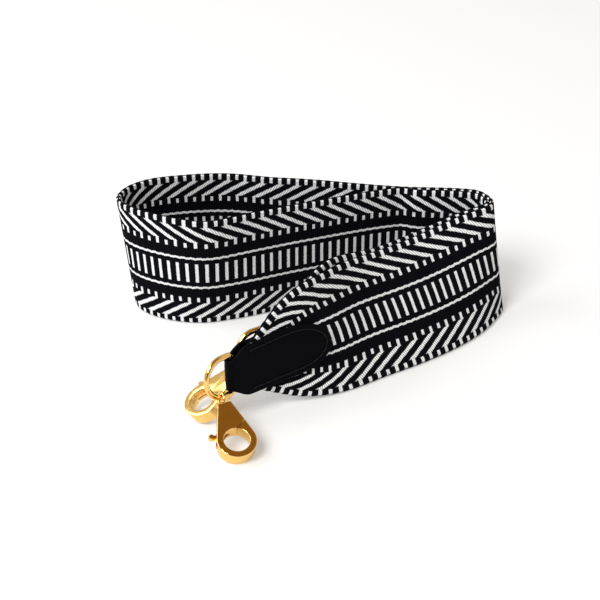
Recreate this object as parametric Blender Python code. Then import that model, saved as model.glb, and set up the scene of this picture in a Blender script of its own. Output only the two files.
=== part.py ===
"""Detachable bag strap: a patterned webbing band coiled on its edge, with a clasp at each end."""
import math

import bmesh
import bpy
import numpy as np

# Webbing band
strap_width = 0.050
strap_thickness = 0.0018
gathered_thickness = 0.0026
layer_gap = 0.0003
coil_length = 0.166
row_spacing = 0.0031
sample_spacing = 0.0010

# Gathered ends
gather_radius = 0.046
gather_angle = math.radians(33)
edge_turn_back = 0.0012
rear_end_setback = 0.020
tab_space = 0.0012
nest_length = 0.040

# Leather tabs
tab_length = 0.0485
tab_half_width = 0.0103
tab_neck_half_width = 0.0062
tab_neck_length = 0.0090
tab_tip_length = 0.0125
leather_thickness = 0.0012
fit_gap = 0.0003
fold_sag = 0.0042
end_heading = math.radians(211.3)

# Stitches
stitch_inset = 0.0024
stitch_length = 0.0021
stitch_pitch = 0.0029
stitch_half_width = 0.00028
stitch_lift = 0.00012
stitch_dip_share = 0.4

# D-rings
ring_wire_radius = 0.00115
ring_half_height = 0.0081
ring_leg = 0.00475
ring_corner = 0.0018

# Swivel eyes
eye_wire_radius = 0.00055
eye_half_length = 0.0023
eye_half_width = 0.0021
collar_radius = 0.0014
collar_length = 0.0008
post_radius = 0.0009
post_head_radius = 0.0013
post_head_length = 0.0010
neck_wall = 0.0013
running_gap = 0.00006

# Clasps
clasp_radius = 0.0076
clasp_eye_radius = 0.00505
clasp_end_half_width = 0.0026
clasp_length = 0.0171
clasp_thickness = 0.0055
clasp_chamfer = 0.00025
pivot_radius_place = 0.0070
pivot_angle = math.radians(38)
pin_radius = 0.0006
pin_cover = 0.0007
hub_radius = 0.00135
shoulder_radius = 0.0064
slot_half_height = 0.0014
tang_low = -0.00125
tang_high = 0.00010
part_gap = 0.00020
seam_along = 0.0062
seam_across = -0.0032
seam_angle = math.radians(-49)
knob_along = 0.0022
knob_across = 0.0090
knob_radius = 0.00125
knob_half_height = 0.0012
spring_wire_radius = 0.00014
spring_coil_radius = 0.00095
spring_start = math.radians(245)
spring_turn = math.radians(633)
spring_leg = 0.0021
spring_stop_leg = 0.0014

# Where the clasps lie: plan headings from the clasp's eye to its ring, and the rings' turns
front_clasp_heading = math.radians(109.3)
rear_clasp_heading = math.radians(34)
front_ring_heading = math.radians(223.4)
rear_ring_heading = math.radians(205)
front_wire_angle = math.radians(12)
rear_wire_angle = math.radians(54)

# The band's path along the middle of its outer face, from the front tab round the outer turn to the meeting of the
# layers: place in plan as shares of the coil's length, then the tilt of the weft line in x and y
path_shares = [
    (0.049, -0.103, -0.32, 0.22),
    (0.120, -0.031, -0.35, 0.38),
    (0.206, 0.039, -0.36, 0.49),
    (0.287, 0.096, -0.345, 0.5),
    (0.369, 0.155, -0.32, 0.42),
    (0.410, 0.184, -0.295, 0.3),
    (0.446, 0.213, -0.25, 0.16),
    (0.472, 0.240, -0.17, 0.09),
    (0.477, 0.271, -0.12, 0.02),
    (0.466, 0.301, -0.09, 0),
    (0.439, 0.327, -0.05, 0.02),
    (0.399, 0.339, -0.02, 0.02),
    (0.342, 0.345, 0, 0.02),
    (0.261, 0.349, 0, 0.02),
    (0.190, 0.357, 0, 0.02),
    (0.098, 0.373, 0, 0.02),
    (-0.027, 0.395, 0, 0.02),
    (-0.123, 0.407, 0, 0.02),
    (-0.194, 0.422, 0, 0.02),
    (-0.278, 0.424, 0, 0.02),
    (-0.357, 0.412, -0.02, 0.02),
    (-0.430, 0.386, -0.05, 0.03),
    (-0.468, 0.351, -0.09, 0.02),
    (-0.484, 0.310, -0.11, 0.02),
    (-0.479, 0.270, -0.11, 0.07),
    (-0.451, 0.231, -0.08, 0.09),
    (-0.408, 0.202, -0.07, 0.09),
    (-0.362, 0.181, -0.05, 0.06),
    (-0.313, 0.167, -0.03, 0.02),
    (-0.264, 0.164, 0, -0.01),
    (-0.216, 0.177, 0, 0),
    (-0.158, 0.200, 0, 0.03),
    (-0.057, 0.242, 0, 0.02),
    (0.095, 0.298, 0, 0.02),
    (0.173, 0.324, 0, 0.02),
    (0.225, 0.337, 0, 0.02),
]
# Tilt of the weft line at the fold of the front tab and halfway along the tab
fold_tilt_shares = (-0.03, 0.16)
mid_tilt_shares = (-0.18, 0.18)
# Place of the inner layer's start, where it leaves the meeting point beside the outer layer
meeting_share = 0.275
# Places across the webbing of the cross-section's points
across_shares = (-1, -0.97, -0.62, -0.21, 0.21, 0.62, 0.97, 1)


def unit(v):
    return v / np.linalg.norm(v, axis=-1, keepdims=True)


def smooth(x):
    x = np.clip(x, 0, 1)
    return x * x * (3 - 2 * x)


def spline(knots, values, places):
    """Natural cubic curve through the values at the knots, taken at the places."""
    n = len(knots)
    step = np.diff(knots)
    slope = np.diff(values, axis=0) / step[:, None]
    matrix = np.eye(n)
    right = np.zeros_like(values)
    for i in range(1, n - 1):
        matrix[i, i - 1:i + 2] = step[i - 1], 2 * (step[i - 1] + step[i]), step[i]
        right[i] = 6 * (slope[i] - slope[i - 1])
    bend = np.linalg.solve(matrix, right)
    k = np.clip(np.searchsorted(knots, places) - 1, 0, n - 2)
    h = step[k][:, None]
    a = (knots[k + 1] - places)[:, None]
    b = (places - knots[k])[:, None]
    return (
        (bend[k] * a**3 + bend[k + 1] * b**3) / (6 * h)
        + (values[k] / h - bend[k] * h / 6) * a
        + (values[k + 1] / h - bend[k + 1] * h / 6) * b
    )


def arc(points):
    return np.concatenate([[0], np.cumsum(np.linalg.norm(np.diff(points, axis=0), axis=1))])


def resample(columns, places, spacing):
    count = int(round(places[-1] / spacing)) + 1
    at = np.linspace(0, places[-1], count)
    return at, np.stack([np.interp(at, places, c) for c in columns.T], 1)


def outer_path():
    """The outer layer's middle line and weft direction, from the front fold to the meeting."""
    rows = np.array(path_shares, float)
    places = rows[:, :2] * coil_length
    tip = places[0]
    along = np.array([math.cos(end_heading), math.sin(end_heading)])
    fold = tip + along * tab_length
    middle = tip + along * tab_length / 2
    xy = np.vstack([fold, middle, places])
    tilt = np.vstack([fold_tilt_shares, mid_tilt_shares, rows[:, 2:]])
    knots = arc(xy)
    dense = np.linspace(0, knots[-1], 1600)
    full = spline(knots, np.hstack([xy, tilt]), dense)
    at, full = resample(full, arc(full[:, :2]), sample_spacing)
    return at, full


def raised(at, full, sag_end):
    """Places in space of path rows: each weft line's foot is on the floor, the tab end sags."""
    run = unit(np.gradient(full[:, :2], axis=0))
    plan = full[:, :2] + np.column_stack([-run[:, 1], run[:, 0]]) * strap_thickness / 2
    rx, ry = full[:, 2], full[:, 3]
    rz = np.sqrt(1 - rx**2 - ry**2)
    weft = np.stack([rx, ry, rz], 1)
    sag = fold_sag * (1 - smooth(at / sag_end))
    z = rz * strap_width / 2 + np.sqrt(1 - rz**2) * strap_thickness / 2 - sag
    return np.column_stack([plan, z]), weft


def frames(centre, weft):
    """Tangent, weft and inward normal of each row."""
    tangent = unit(np.gradient(centre, axis=0))
    normal = unit(np.cross(weft, tangent))
    return tangent, weft, normal


def thickness_at(a):
    """Thickness of the webbing at a distance past the tongue's tip."""
    return strap_thickness + (gathered_thickness - strap_thickness) * smooth(a / (tab_length / 2))


def half_width_at(a):
    """Half width of the webbing at a distance past the tongue's tip."""
    bend = gather_radius * math.sin(gather_angle)
    turned = np.clip(a, 0, bend)
    inward = gather_radius - np.sqrt(gather_radius**2 - turned**2)
    straight = np.clip(a - bend, 0, None) * math.tan(gather_angle)
    return strap_width / 2 - inward - straight


class End:
    """One gathered end: frames by the distance a from the tongue's tip towards the fold."""

    def __init__(self, centre, weft, start):
        tangent, weft, normal = frames(centre, weft)
        self.centre = centre
        self.tangent = -tangent
        self.weft = weft
        self.normal = -normal
        self.places = arc(centre) - start

    def frame(self, a):
        s = tab_length - np.atleast_1d(np.asarray(a, float))
        pick = [
            np.stack([np.interp(s, self.places, c) for c in field.T], 1)
            for field in (self.centre, self.tangent, self.weft, self.normal)
        ]
        beyond = np.clip(self.places[0] - s, 0, None)[:, None]
        return pick[0] + beyond * self.tangent[0], unit(pick[1]), unit(pick[2]), unit(pick[3])

    def point(self, a, across, out):
        x, _, r, n = self.frame(a)
        return x + np.atleast_1d(across)[:, None] * r + np.atleast_1d(out)[:, None] * n


def inner_path(at, centre, weft):
    """The inner layer beside the outer one, from the meeting back to the rear fold."""
    tangent = unit(np.gradient(centre, axis=0))
    plan = unit(np.column_stack([-tangent[:, 1], tangent[:, 0], np.zeros(len(at))]))
    normal = unit(np.cross(weft, tangent))
    lean = np.abs(np.sum(plan * normal, axis=1))
    one_layer = strap_thickness + layer_gap
    one_tab = gathered_thickness + 2 * leather_thickness + 3 * fit_gap + tab_space
    near = smooth((tab_length + nest_length - at) / nest_length)
    offset = one_layer + (one_tab - one_layer) * near
    return centre + plan * (offset / lean)[:, None]


def meeting_row(at, centre):
    """The first row of the rear layer, seen from the outer turn, past the meeting place."""
    return int(np.argmax((centre[:, 0] < meeting_share * coil_length) & (at > tab_length * 3)))


def band_rows(at, centre, weft, inner):
    """All rows of the webbing from the front end to the rear end."""
    clear = 2 * (ring_wire_radius + fit_gap) + leather_thickness + strap_thickness
    first = int(np.argmax(at > clear))
    turn = meeting_row(at, centre)
    last = int(np.argmax(at > clear + rear_end_setback))
    places = np.vstack([centre[first:], inner[turn:last:-1]])
    wefts = np.vstack([weft[first:], weft[turn:last:-1]])
    s = arc(places)
    total = s[-1]
    distance, both = resample(np.hstack([places, wefts]), s, row_spacing)
    front = tab_length - at[first] - distance
    rear = tab_length - (at[last] - rear_end_setback) - (total - distance)
    return both[:, :3], unit(both[:, 3:]), front, rear


def new_object(name, vertices, faces, material, smooth_angle=math.radians(35)):
    mesh = bpy.data.meshes.new(name)
    mesh.from_pydata([tuple(v) for v in vertices], [], [tuple(f) for f in faces])
    work = bmesh.new()
    work.from_mesh(mesh)
    bmesh.ops.recalc_face_normals(work, faces=work.faces)
    work.to_mesh(mesh)
    work.free()
    mesh.materials.append(material)
    for polygon in mesh.polygons:
        polygon.use_smooth = True
    mesh.set_sharp_from_angle(angle=smooth_angle)
    item = bpy.data.objects.new(name, mesh)
    bpy.context.scene.collection.objects.link(item)
    return item


def tube(rings, closed=False, strip=False):
    """Faces between successive rings of points; strips get quad caps, others fans."""
    n, m = rings.shape[:2]
    faces = []
    for i in range(n if closed else n - 1):
        j = (i + 1) % n
        for k in range(m):
            q = (k + 1) % m
            faces.append((i * m + k, i * m + q, j * m + q, j * m + k))
    if not closed:
        for base in (0, (n - 1) * m):
            if strip:
                for k in range(m // 2 - 1):
                    faces.append((base + k, base + k + 1, base + m - 2 - k, base + m - 1 - k))
            else:
                faces.append(tuple(base + k for k in range(m)))
    return rings.reshape(-1, 3), faces


def strip_rings(centre, weft, normal, half, thick, bend_back):
    """Closed cross-sections of a flat band with thinned edges."""
    u = np.array(across_shares)
    rim = np.where(np.abs(u) >= 1, 0.5, 1)
    across = half[:, None] * u
    past = np.clip((np.abs(across) - tab_half_width) / (strap_width / 2 - tab_half_width), 0, 1)
    back = bend_back[:, None] * past
    rings = []
    for side in (1, -1):
        out = side * rim * thick[:, None] / 2 + back
        face = centre[:, None] + across[..., None] * weft[:, None] + out[..., None] * normal[:, None]
        rings.append(face if side == 1 else face[:, ::-1])
    return np.concatenate(rings, 1)


def make_band(rows, material):
    centre, weft, front, rear = rows
    _, weft, normal = frames(centre, weft)
    half = np.minimum(half_width_at(front), half_width_at(rear))
    thick = np.maximum(thickness_at(front), thickness_at(rear))
    back = edge_turn_back * (smooth(front / tab_length) - smooth(rear / tab_length))
    rings = strip_rings(centre, weft, normal, half, thick, back)
    return new_object("strap_webbing", *tube(rings, strip=True), material)


def tab_width_at(a):
    """Half width of a tongue at a distance from its tip."""
    round_end = np.sqrt(np.clip(1 - (1 - np.clip(a / tab_tip_length, 0, 1)) ** 2, 0.02, 1))
    fold = tab_length - np.asarray(a, float)
    neck = smooth(fold / tab_neck_length)
    return round_end * (tab_neck_half_width + (tab_half_width - tab_neck_half_width) * neck)


def tongue_out(a):
    """Distance of a tongue's middle surface from the band's middle surface."""
    return thickness_at(a) / 2 + fit_gap + leather_thickness / 2


def make_tab(name, end, material):
    """A leather strip folded round the ring's bar, a tongue on each face."""
    fold_radius = tongue_out(tab_length)
    straight = tab_length - fold_radius - leather_thickness / 2
    tip_part = tab_tip_length * (1 - np.cos(np.linspace(0.15, math.pi / 2, 8)))
    flat = np.concatenate([tip_part, np.linspace(tab_tip_length, straight, 14)[1:]])
    angle = np.linspace(0, math.pi, 11)[1:-1]
    a = np.concatenate([flat, straight + fold_radius * np.sin(angle), flat[::-1]])
    out = np.concatenate([tongue_out(flat), fold_radius * np.cos(angle), -tongue_out(flat[::-1])])
    width = tab_width_at(np.minimum(a, straight + fold_radius * 0.6))
    x, t, r, n = end.frame(np.minimum(a, tab_length))
    middle = x + out[:, None] * n
    along = np.gradient(middle, axis=0)
    outward = unit(np.cross(unit(along), r))
    facing = np.sign(np.sum(outward[0] * n[0]))
    u = np.array([-1, -0.93, 0, 0.93, 1])
    rim = np.array([0.45, 1, 1, 1, 0.45])
    rings = []
    for side in (1, -1):
        lift = side * rim * leather_thickness / 2
        face = (
            middle[:, None]
            + (width[:, None] * u)[..., None] * r[:, None]
            + facing * lift[None, :, None] * outward[:, None]
        )
        rings.append(face if side == 1 else face[:, ::-1])
    return new_object(name, *tube(np.concatenate(rings, 1), strip=True), material)


def make_stitches(name, end, side, material):
    """The thread of a tongue's seam: stitches inside its outline, joined where it dips between them."""
    last = tab_length - tab_neck_length
    a = np.linspace(stitch_inset, last, 90)
    half = np.clip(tab_width_at(a) - stitch_inset, 0, None)
    inner = np.clip((a - stitch_inset) / (tab_tip_length - stitch_inset), 0, 1)
    half = np.minimum(half, (tab_half_width - stitch_inset) * np.sqrt(1 - (1 - inner) ** 2))
    line_a = np.concatenate([a[::-1], a[1:]])
    line_w = np.concatenate([-half[::-1], half[1:]])
    at = arc(np.column_stack([line_a, line_w]))
    count = int(at[-1] // stitch_pitch)
    step = at[-1] / count
    dip = (step - stitch_length) / 2
    places = (np.arange(count)[:, None] * step + [dip / 2, dip * 1.6, step - dip * 1.6, step - dip / 2])
    size = np.tile([stitch_dip_share, 1, 1, stitch_dip_share], count)
    places = places.ravel()
    pa = np.interp(places, at, line_a)
    pw = np.interp(places, at, line_w)
    base = tongue_out(pa) + leather_thickness / 2 + stitch_lift
    low = end.point(pa, pw, side * base)
    _, _, _, normal = end.frame(pa)
    run = unit(np.gradient(low, axis=0))
    up = side * normal
    wide = unit(np.cross(run, up)) * (stitch_half_width * size)[:, None]
    high = low + up * (stitch_half_width * size * 1.2)[:, None]
    rings = np.stack([low - wide, low + wide, high + wide / 2, high - wide / 2], 1)
    return new_object(name, *tube(rings), material)


def sweep_loop(points, radius, sides, flat_normal):
    """Closed round wire along a flat loop of points."""
    tangent = unit(np.roll(points, -1, 0) - np.roll(points, 1, 0))
    across = np.cross(tangent, flat_normal)
    turn = np.linspace(0, 2 * math.pi, sides, endpoint=False)
    ring = (
        points[:, None]
        + radius * np.cos(turn)[None, :, None] * across[:, None]
        + radius * np.sin(turn)[None, :, None] * np.array(flat_normal)[None, None]
    )
    return tube(ring, closed=True)


class Ring:
    """Frame of a D-ring: bar place, bar direction, and the direction from the bar to the bow."""

    def __init__(self, end, heading):
        x, _, r, _ = end.frame(tab_length - tongue_out(tab_length) - leather_thickness / 2)
        self.bar = x[0]
        self.up = r[0]
        plan = np.array([math.cos(heading), math.sin(heading), 0])
        self.out = unit(plan - self.up * np.dot(plan, self.up))
        self.normal = np.cross(self.out, self.up)

    def wire(self, angle):
        """Centre of the wire at an angle from the bow's low end, and its tangent."""
        d = ring_leg + ring_half_height * math.sin(angle)
        h = -ring_half_height * math.cos(angle)
        place = self.bar + d * self.out + h * self.up
        return place, unit(math.cos(angle) * self.out + math.sin(angle) * self.up)

    def outline(self):
        bow = np.linspace(-math.pi / 2, math.pi / 2, 21)
        d = list(ring_leg + ring_half_height * np.cos(bow))
        h = list(ring_half_height * np.sin(bow))
        corner = np.linspace(math.pi / 2, math.pi, 6)
        d += list(ring_corner + ring_corner * np.cos(corner))
        h += list(ring_half_height - ring_corner + ring_corner * np.sin(corner))
        d += [0, 0]
        h += [ring_half_height * 0.3, -ring_half_height * 0.3]
        corner = np.linspace(math.pi, 3 * math.pi / 2, 6)
        d += list(ring_corner + ring_corner * np.cos(corner))
        h += list(-ring_half_height + ring_corner + ring_corner * np.sin(corner))
        return np.array(d)[:, None] * self.out + np.array(h)[:, None] * self.up


def make_ring(name, ring, material):
    item = new_object(name, *sweep_loop(ring.outline(), ring_wire_radius, 12, ring.normal), material)
    item.location = ring.bar
    return item


def lathe(profile, sides):
    """Closed solid of revolution about x from (x, radius) pairs that begin and end on the axis."""
    turn = np.linspace(0, 2 * math.pi, sides, endpoint=False)
    rings = np.array([
        [(x, r * math.cos(t), r * math.sin(t)) for t in turn] for x, r in profile[1:-1]
    ])
    vertices, faces = tube(rings)
    faces = faces[:-2]
    vertices = np.vstack([vertices, [profile[0][0], 0, 0], [profile[-1][0], 0, 0]])
    first = len(vertices) - 2
    base = (len(rings) - 1) * sides
    for k in range(sides):
        faces.append((k, (k + 1) % sides, first))
        faces.append((base + k, base + (k + 1) % sides, first + 1))
    return vertices, faces


def prism(outline, low, high):
    """Upright prism over a closed plan outline."""
    rings = np.array([[(x, y, z) for x, y in outline] for z in (low, high)])
    return tube(rings)


def carve(item, tools, operation):
    """Apply each tool to the item by an exact Boolean and remove the tools."""
    for tool in tools:
        step = item.modifiers.new("cut", "BOOLEAN")
        step.operation = operation
        step.solver = "EXACT"
        step.object = tool
    bpy.context.view_layer.update()
    graph = bpy.context.evaluated_depsgraph_get()
    result = bpy.data.meshes.new_from_object(item.evaluated_get(graph))
    item.modifiers.clear()
    item.data = result
    for tool in tools:
        bpy.data.objects.remove(tool)
    for polygon in item.data.polygons:
        polygon.use_smooth = True
    item.data.set_sharp_from_angle(angle=math.radians(35))
    return item


def drop_outline(theta):
    """Distance of the teardrop's rim from the eye's centre in each direction: arc, straight flank, flat end."""
    corner, side = drop_corners()
    a = np.abs((theta + math.pi) % (2 * math.pi) - math.pi)
    flank = clasp_radius / np.cos(np.clip(a - side, -1.5, 1.5))
    end = clasp_length / np.cos(np.clip(a, 0, corner))
    return np.where(a > side, clasp_radius, np.where(a > corner, flank, end))


def drop_corners():
    """Directions of the flat end's corner and of the place where the flank leaves the round."""
    corner = math.atan2(clasp_end_half_width, clasp_length)
    return corner, corner + math.acos(clasp_radius / math.hypot(clasp_end_half_width, clasp_length))


def make_teardrop(name, material):
    """The whole teardrop plate with its round eye and chamfered rims, in the clasp's own axes."""
    corner, side = drop_corners()
    near = np.concatenate([np.linspace(0, corner, 4)[1:], np.linspace(corner, side, 14)[1:]])
    far = np.linspace(side, 2 * math.pi - side, 34)[1:-1]
    theta = np.concatenate([-near[::-1], [0], near, far])
    rim = drop_outline(theta)
    half = clasp_thickness / 2
    c = clasp_chamfer
    inner = np.full_like(theta, clasp_eye_radius)
    low = rim * (1 - c / clasp_radius)
    section = [
        (inner, -half + c), (inner, half - c), (inner + c, half), (low, half),
        (rim, half - c), (rim, -half + c), (low, -half), (inner + c, -half),
    ]
    rings = np.stack([
        np.stack([r * np.cos(theta), r * np.sin(theta), np.full_like(theta, z)], 1) for r, z in section
    ], 1)
    return new_object(name, *tube(rings, closed=True), material)


def pivot_place():
    return np.array([math.cos(pivot_angle), math.sin(pivot_angle)]) * pivot_radius_place


def claw_region(grow):
    """Plan outline of the space that the claw takes, grown or shrunk by a gap."""
    pivot = pivot_place()
    mid = np.array([seam_along, seam_across])
    along = np.array([math.cos(seam_angle), math.sin(seam_angle)])
    push = np.array([-along[1], along[0]]) * grow
    far = 3 * clasp_radius
    points = [mid + push - along * (far / 6), mid + push + along * far, (-far, -far), (-far, far)]
    start = math.radians(112)
    stop = math.radians(212)
    for t in np.linspace(start, stop, 20):
        points.append(pivot + (shoulder_radius - grow) * np.array([math.cos(t), math.sin(t)]))
    return [tuple(p) for p in points]


def tang_outline():
    """Plan outline of the tang: an arm along the eye's wall and a round hub at the pivot."""
    pivot = pivot_place()
    low = clasp_eye_radius + part_gap
    high = clasp_radius - 2 * part_gap
    sweep = np.linspace(math.radians(106), pivot_angle + math.radians(8), 12)
    outer = [(high * math.cos(t), high * math.sin(t)) for t in sweep]
    hub = [
        tuple(pivot + hub_radius * np.array([math.cos(t), math.sin(t)]))
        for t in np.linspace(math.radians(100), math.radians(-140), 16)
    ]
    inner = [(low * math.cos(t), low * math.sin(t)) for t in sweep[::-1]]
    return outer + hub + inner[1:]


def slot_outline():
    """Plan outline of the body's slot: round the hub, and the wedge that the tang sweeps."""
    pivot = pivot_place()
    near = hub_radius + part_gap
    far = shoulder_radius + 4 * part_gap
    wedge = np.linspace(math.radians(82), math.radians(262), 22)
    outer = [tuple(pivot + far * np.array([math.cos(t), math.sin(t)])) for t in wedge]
    back = np.linspace(math.radians(-98), math.radians(82), 14)
    hub = [tuple(pivot + near * np.array([math.cos(t), math.sin(t)])) for t in back]
    return outer + hub


def clasp_axes(ring, wire_angle, heading):
    """Place and axes of a clasp that rests on the floor and hangs its eye on the ring's wire."""
    wire, tangent = ring.wire(wire_angle)
    reach = hang_reach()
    long_arm = reach + clasp_radius
    short_arm = clasp_thickness / 2
    size = math.hypot(long_arm, short_arm)
    tilt = math.asin(wire[2] / size) - math.atan2(short_arm, long_arm)
    flat = np.array([math.cos(heading), math.sin(heading), 0])
    along = flat * math.cos(tilt) + np.array([0, 0, math.sin(tilt)])
    across = np.cross([0, 0, 1], flat)
    normal = np.cross(along, across)
    return wire - reach * along, along, across, normal, wire, tangent


def hang_reach():
    """Distance from the clasp's centre to the ring's wire."""
    loop = clasp_length + fit_gap + collar_length + eye_half_length + eye_wire_radius * 0.7
    return loop + (eye_half_length - eye_wire_radius - ring_wire_radius) * 0.5


def place(item, origin, along, across, normal):
    """Move mesh points from the piece's own axes into the assembly's."""
    points = np.empty(len(item.data.vertices) * 3)
    item.data.vertices.foreach_get("co", points)
    points = points.reshape(-1, 3)
    moved = points[:, :1] * along + points[:, 1:2] * across + points[:, 2:] * normal
    item.data.vertices.foreach_set("co", moved.ravel())
    item.data.update()
    item.location = origin


def reorigin(item, origin, joint):
    """Put the object's origin at a joint's place without moving its points."""
    points = np.empty(len(item.data.vertices) * 3)
    item.data.vertices.foreach_get("co", points)
    points = points.reshape(-1, 3) + (np.array(origin) - np.array(joint))
    item.data.vertices.foreach_set("co", points.ravel())
    item.data.update()
    item.location = joint


def make_eye(name, axes, material):
    """The swivel eye: an oval loop, a collar, and a headed post inside the clasp's narrow end."""
    origin, along, across, normal, wire, tangent = axes
    tip = clasp_length
    collar = tip + fit_gap
    centre = collar + collar_length + eye_half_length + eye_wire_radius * 0.7
    turn = np.linspace(0, 2 * math.pi, 24, endpoint=False)
    loop = np.stack([
        centre + eye_half_length * np.cos(turn), eye_half_width * np.sin(turn), np.zeros(24)
    ], 1)
    item = new_object(name, *sweep_loop(loop, eye_wire_radius, 8, (0, 0, 1)), material)
    head = tip - neck_wall - fit_gap
    profile = [
        (head - post_head_length, 0), (head - post_head_length, post_head_radius),
        (head, post_head_radius), (head, post_radius), (collar, post_radius),
        (collar, collar_radius), (collar + collar_length, collar_radius),
        (collar + collar_length + eye_wire_radius, eye_wire_radius * 1.3),
        (collar + collar_length + eye_wire_radius, 0),
    ]
    post = new_object(name + "_post", *lathe(profile, 16), material)
    carve(item, [post], "UNION")
    flat = unit(tangent - along * np.dot(tangent, along))
    place(item, origin, along, np.cross(flat, along), flat)
    reorigin(item, origin, wire)
    return item


def make_clasp(side, axes, metal, steel):
    """Clasp body, claw, pivot pin and spring in place."""
    origin, along, across, normal, wire, tangent = axes
    half = clasp_thickness / 2
    pivot = pivot_place()
    tip = clasp_length
    tall = 2 * clasp_thickness
    body = make_teardrop(side + "_clasp_body", metal)
    region = new_object("region", *prism(claw_region(part_gap / 2), -tall, tall), metal)
    slot = new_object("slot", *prism(slot_outline(), -slot_half_height, slot_half_height), metal)
    hole = lathe_at(pivot, pin_radius + running_gap, -tall, half - pin_cover + running_gap, 20)
    hole_tool = new_object("hole", *hole, metal)
    bore_profile = [
        (tip - neck_wall - post_head_length - 2 * fit_gap, 0),
        (tip - neck_wall - post_head_length - 2 * fit_gap, post_head_radius + fit_gap),
        (tip - neck_wall, post_head_radius + fit_gap), (tip - neck_wall, post_radius + running_gap),
        (tip + post_head_length, post_radius + running_gap), (tip + post_head_length, 0),
    ]
    bore = new_object("bore", *lathe(bore_profile, 20), metal)
    carve(body, [region, slot, hole_tool, bore], "DIFFERENCE")

    claw = make_teardrop(side + "_clasp_claw", metal)
    keep = new_object("keep", *prism(claw_region(-part_gap / 2), -tall, tall), metal)
    carve(claw, [keep], "INTERSECT")
    tang = new_object("tang", *prism(tang_outline(), tang_low, tang_high), metal)
    stem = new_object("stem", *prism(stem_outline(), tang_low, tang_high), metal)
    knob = new_object("knob", *knob_solid(), metal)
    carve(claw, [tang, stem, knob], "UNION")
    hub_hole = new_object("hub_hole", *lathe_at(pivot, pin_radius + running_gap, -half, half, 20), metal)
    carve(claw, [hub_hole], "DIFFERENCE")

    pin_low = -half + running_gap
    pin = new_object(
        side + "_claw_pin", *lathe_at(pivot, pin_radius, pin_low, half - pin_cover, 20), steel
    )
    spring = new_object(side + "_claw_spring", *spring_solid(pivot), steel)
    pivot_3d = origin + pivot[0] * along + pivot[1] * across
    for item in (body, claw, pin, spring):
        place(item, origin, along, across, normal)
    reorigin(body, origin, wire - along * (hang_reach() - tip))
    reorigin(claw, origin, pivot_3d)
    reorigin(pin, origin, pivot_3d)
    reorigin(spring, origin, pivot_3d)
    return pivot_3d


def lathe_at(pivot, radius, low, high, sides):
    """Upright cylinder at a plan place."""
    turn = np.linspace(0, 2 * math.pi, sides, endpoint=False)
    return prism([tuple(pivot + radius * np.array([math.cos(t), math.sin(t)])) for t in turn], low, high)


def knob_solid():
    """Round thumb knob with a stem that reaches in to the tang."""
    turn = np.linspace(0, 2 * math.pi, 14, endpoint=False)
    top = knob_half_height
    levels = [(-top, 0.7), (-top * 0.6, 1), (top * 0.6, 1), (top, 0.7)]
    rings = np.array([
        [
            (knob_along + knob_radius * k * math.cos(t), knob_across + knob_radius * k * math.sin(t), z)
            for t in turn
        ]
        for z, k in levels
    ])
    return tube(rings)


def stem_outline():
    """Plan outline of the stem between the tang and the knob."""
    wide = knob_radius * 0.6
    low = clasp_eye_radius + 4 * part_gap
    return [
        (knob_along + wide, knob_across), (knob_along - wide, knob_across),
        (knob_along - wide, low), (knob_along + wide, low),
    ]


def spring_solid(pivot):
    """Coil about the pin above the tang, one leg along the tang and one along the slot's end."""
    low = tang_high + part_gap / 2 + spring_wire_radius
    high = slot_half_height - part_gap / 2 - spring_wire_radius
    start = spring_start
    stop = start + spring_turn
    turn = np.linspace(start, stop, 44)
    z = np.interp(turn, [start, stop], [low, high])
    coil = np.stack([
        pivot[0] + spring_coil_radius * np.cos(turn),
        pivot[1] + spring_coil_radius * np.sin(turn), z,
    ], 1)
    level = np.array([1, 1, 0])
    begin = coil[0] - unit((coil[1] - coil[0]) * level) * spring_leg
    finish = coil[-1] + unit((coil[-1] - coil[-2]) * level) * spring_stop_leg
    points = np.vstack([begin, coil, finish])
    tangent = unit(np.gradient(points, axis=0))
    side = unit(np.cross(tangent, [0, 0, 1]))
    up = np.cross(side, tangent)
    turn = np.linspace(0, 2 * math.pi, 6, endpoint=False)
    rings = (
        points[:, None]
        + spring_wire_radius * np.cos(turn)[None, :, None] * side[:, None]
        + spring_wire_radius * np.sin(turn)[None, :, None] * up[:, None]
    )
    return tube(rings)


def make_material(name, colour, metallic, roughness):
    material = bpy.data.materials.new(name)
    material.use_nodes = True
    shader = material.node_tree.nodes["Principled BSDF"]
    shader.inputs["Base Color"].default_value = (*colour, 1)
    shader.inputs["Metallic"].default_value = metallic
    shader.inputs["Roughness"].default_value = roughness
    return material


def centred():
    """Move every object so that the origin is at the middle of the whole part's base."""
    bpy.context.view_layer.update()
    corners = []
    for item in bpy.data.objects:
        points = np.empty(len(item.data.vertices) * 3)
        item.data.vertices.foreach_get("co", points)
        points = points.reshape(-1, 3) + np.array(item.location)
        corners += [points.min(0), points.max(0)]
    low = np.min(corners, axis=0)
    high = np.max(corners, axis=0)
    shift = -(low + high) / 2
    shift[2] = -low[2]
    for item in bpy.data.objects:
        item.location = np.array(item.location) + shift
    return shift


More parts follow.
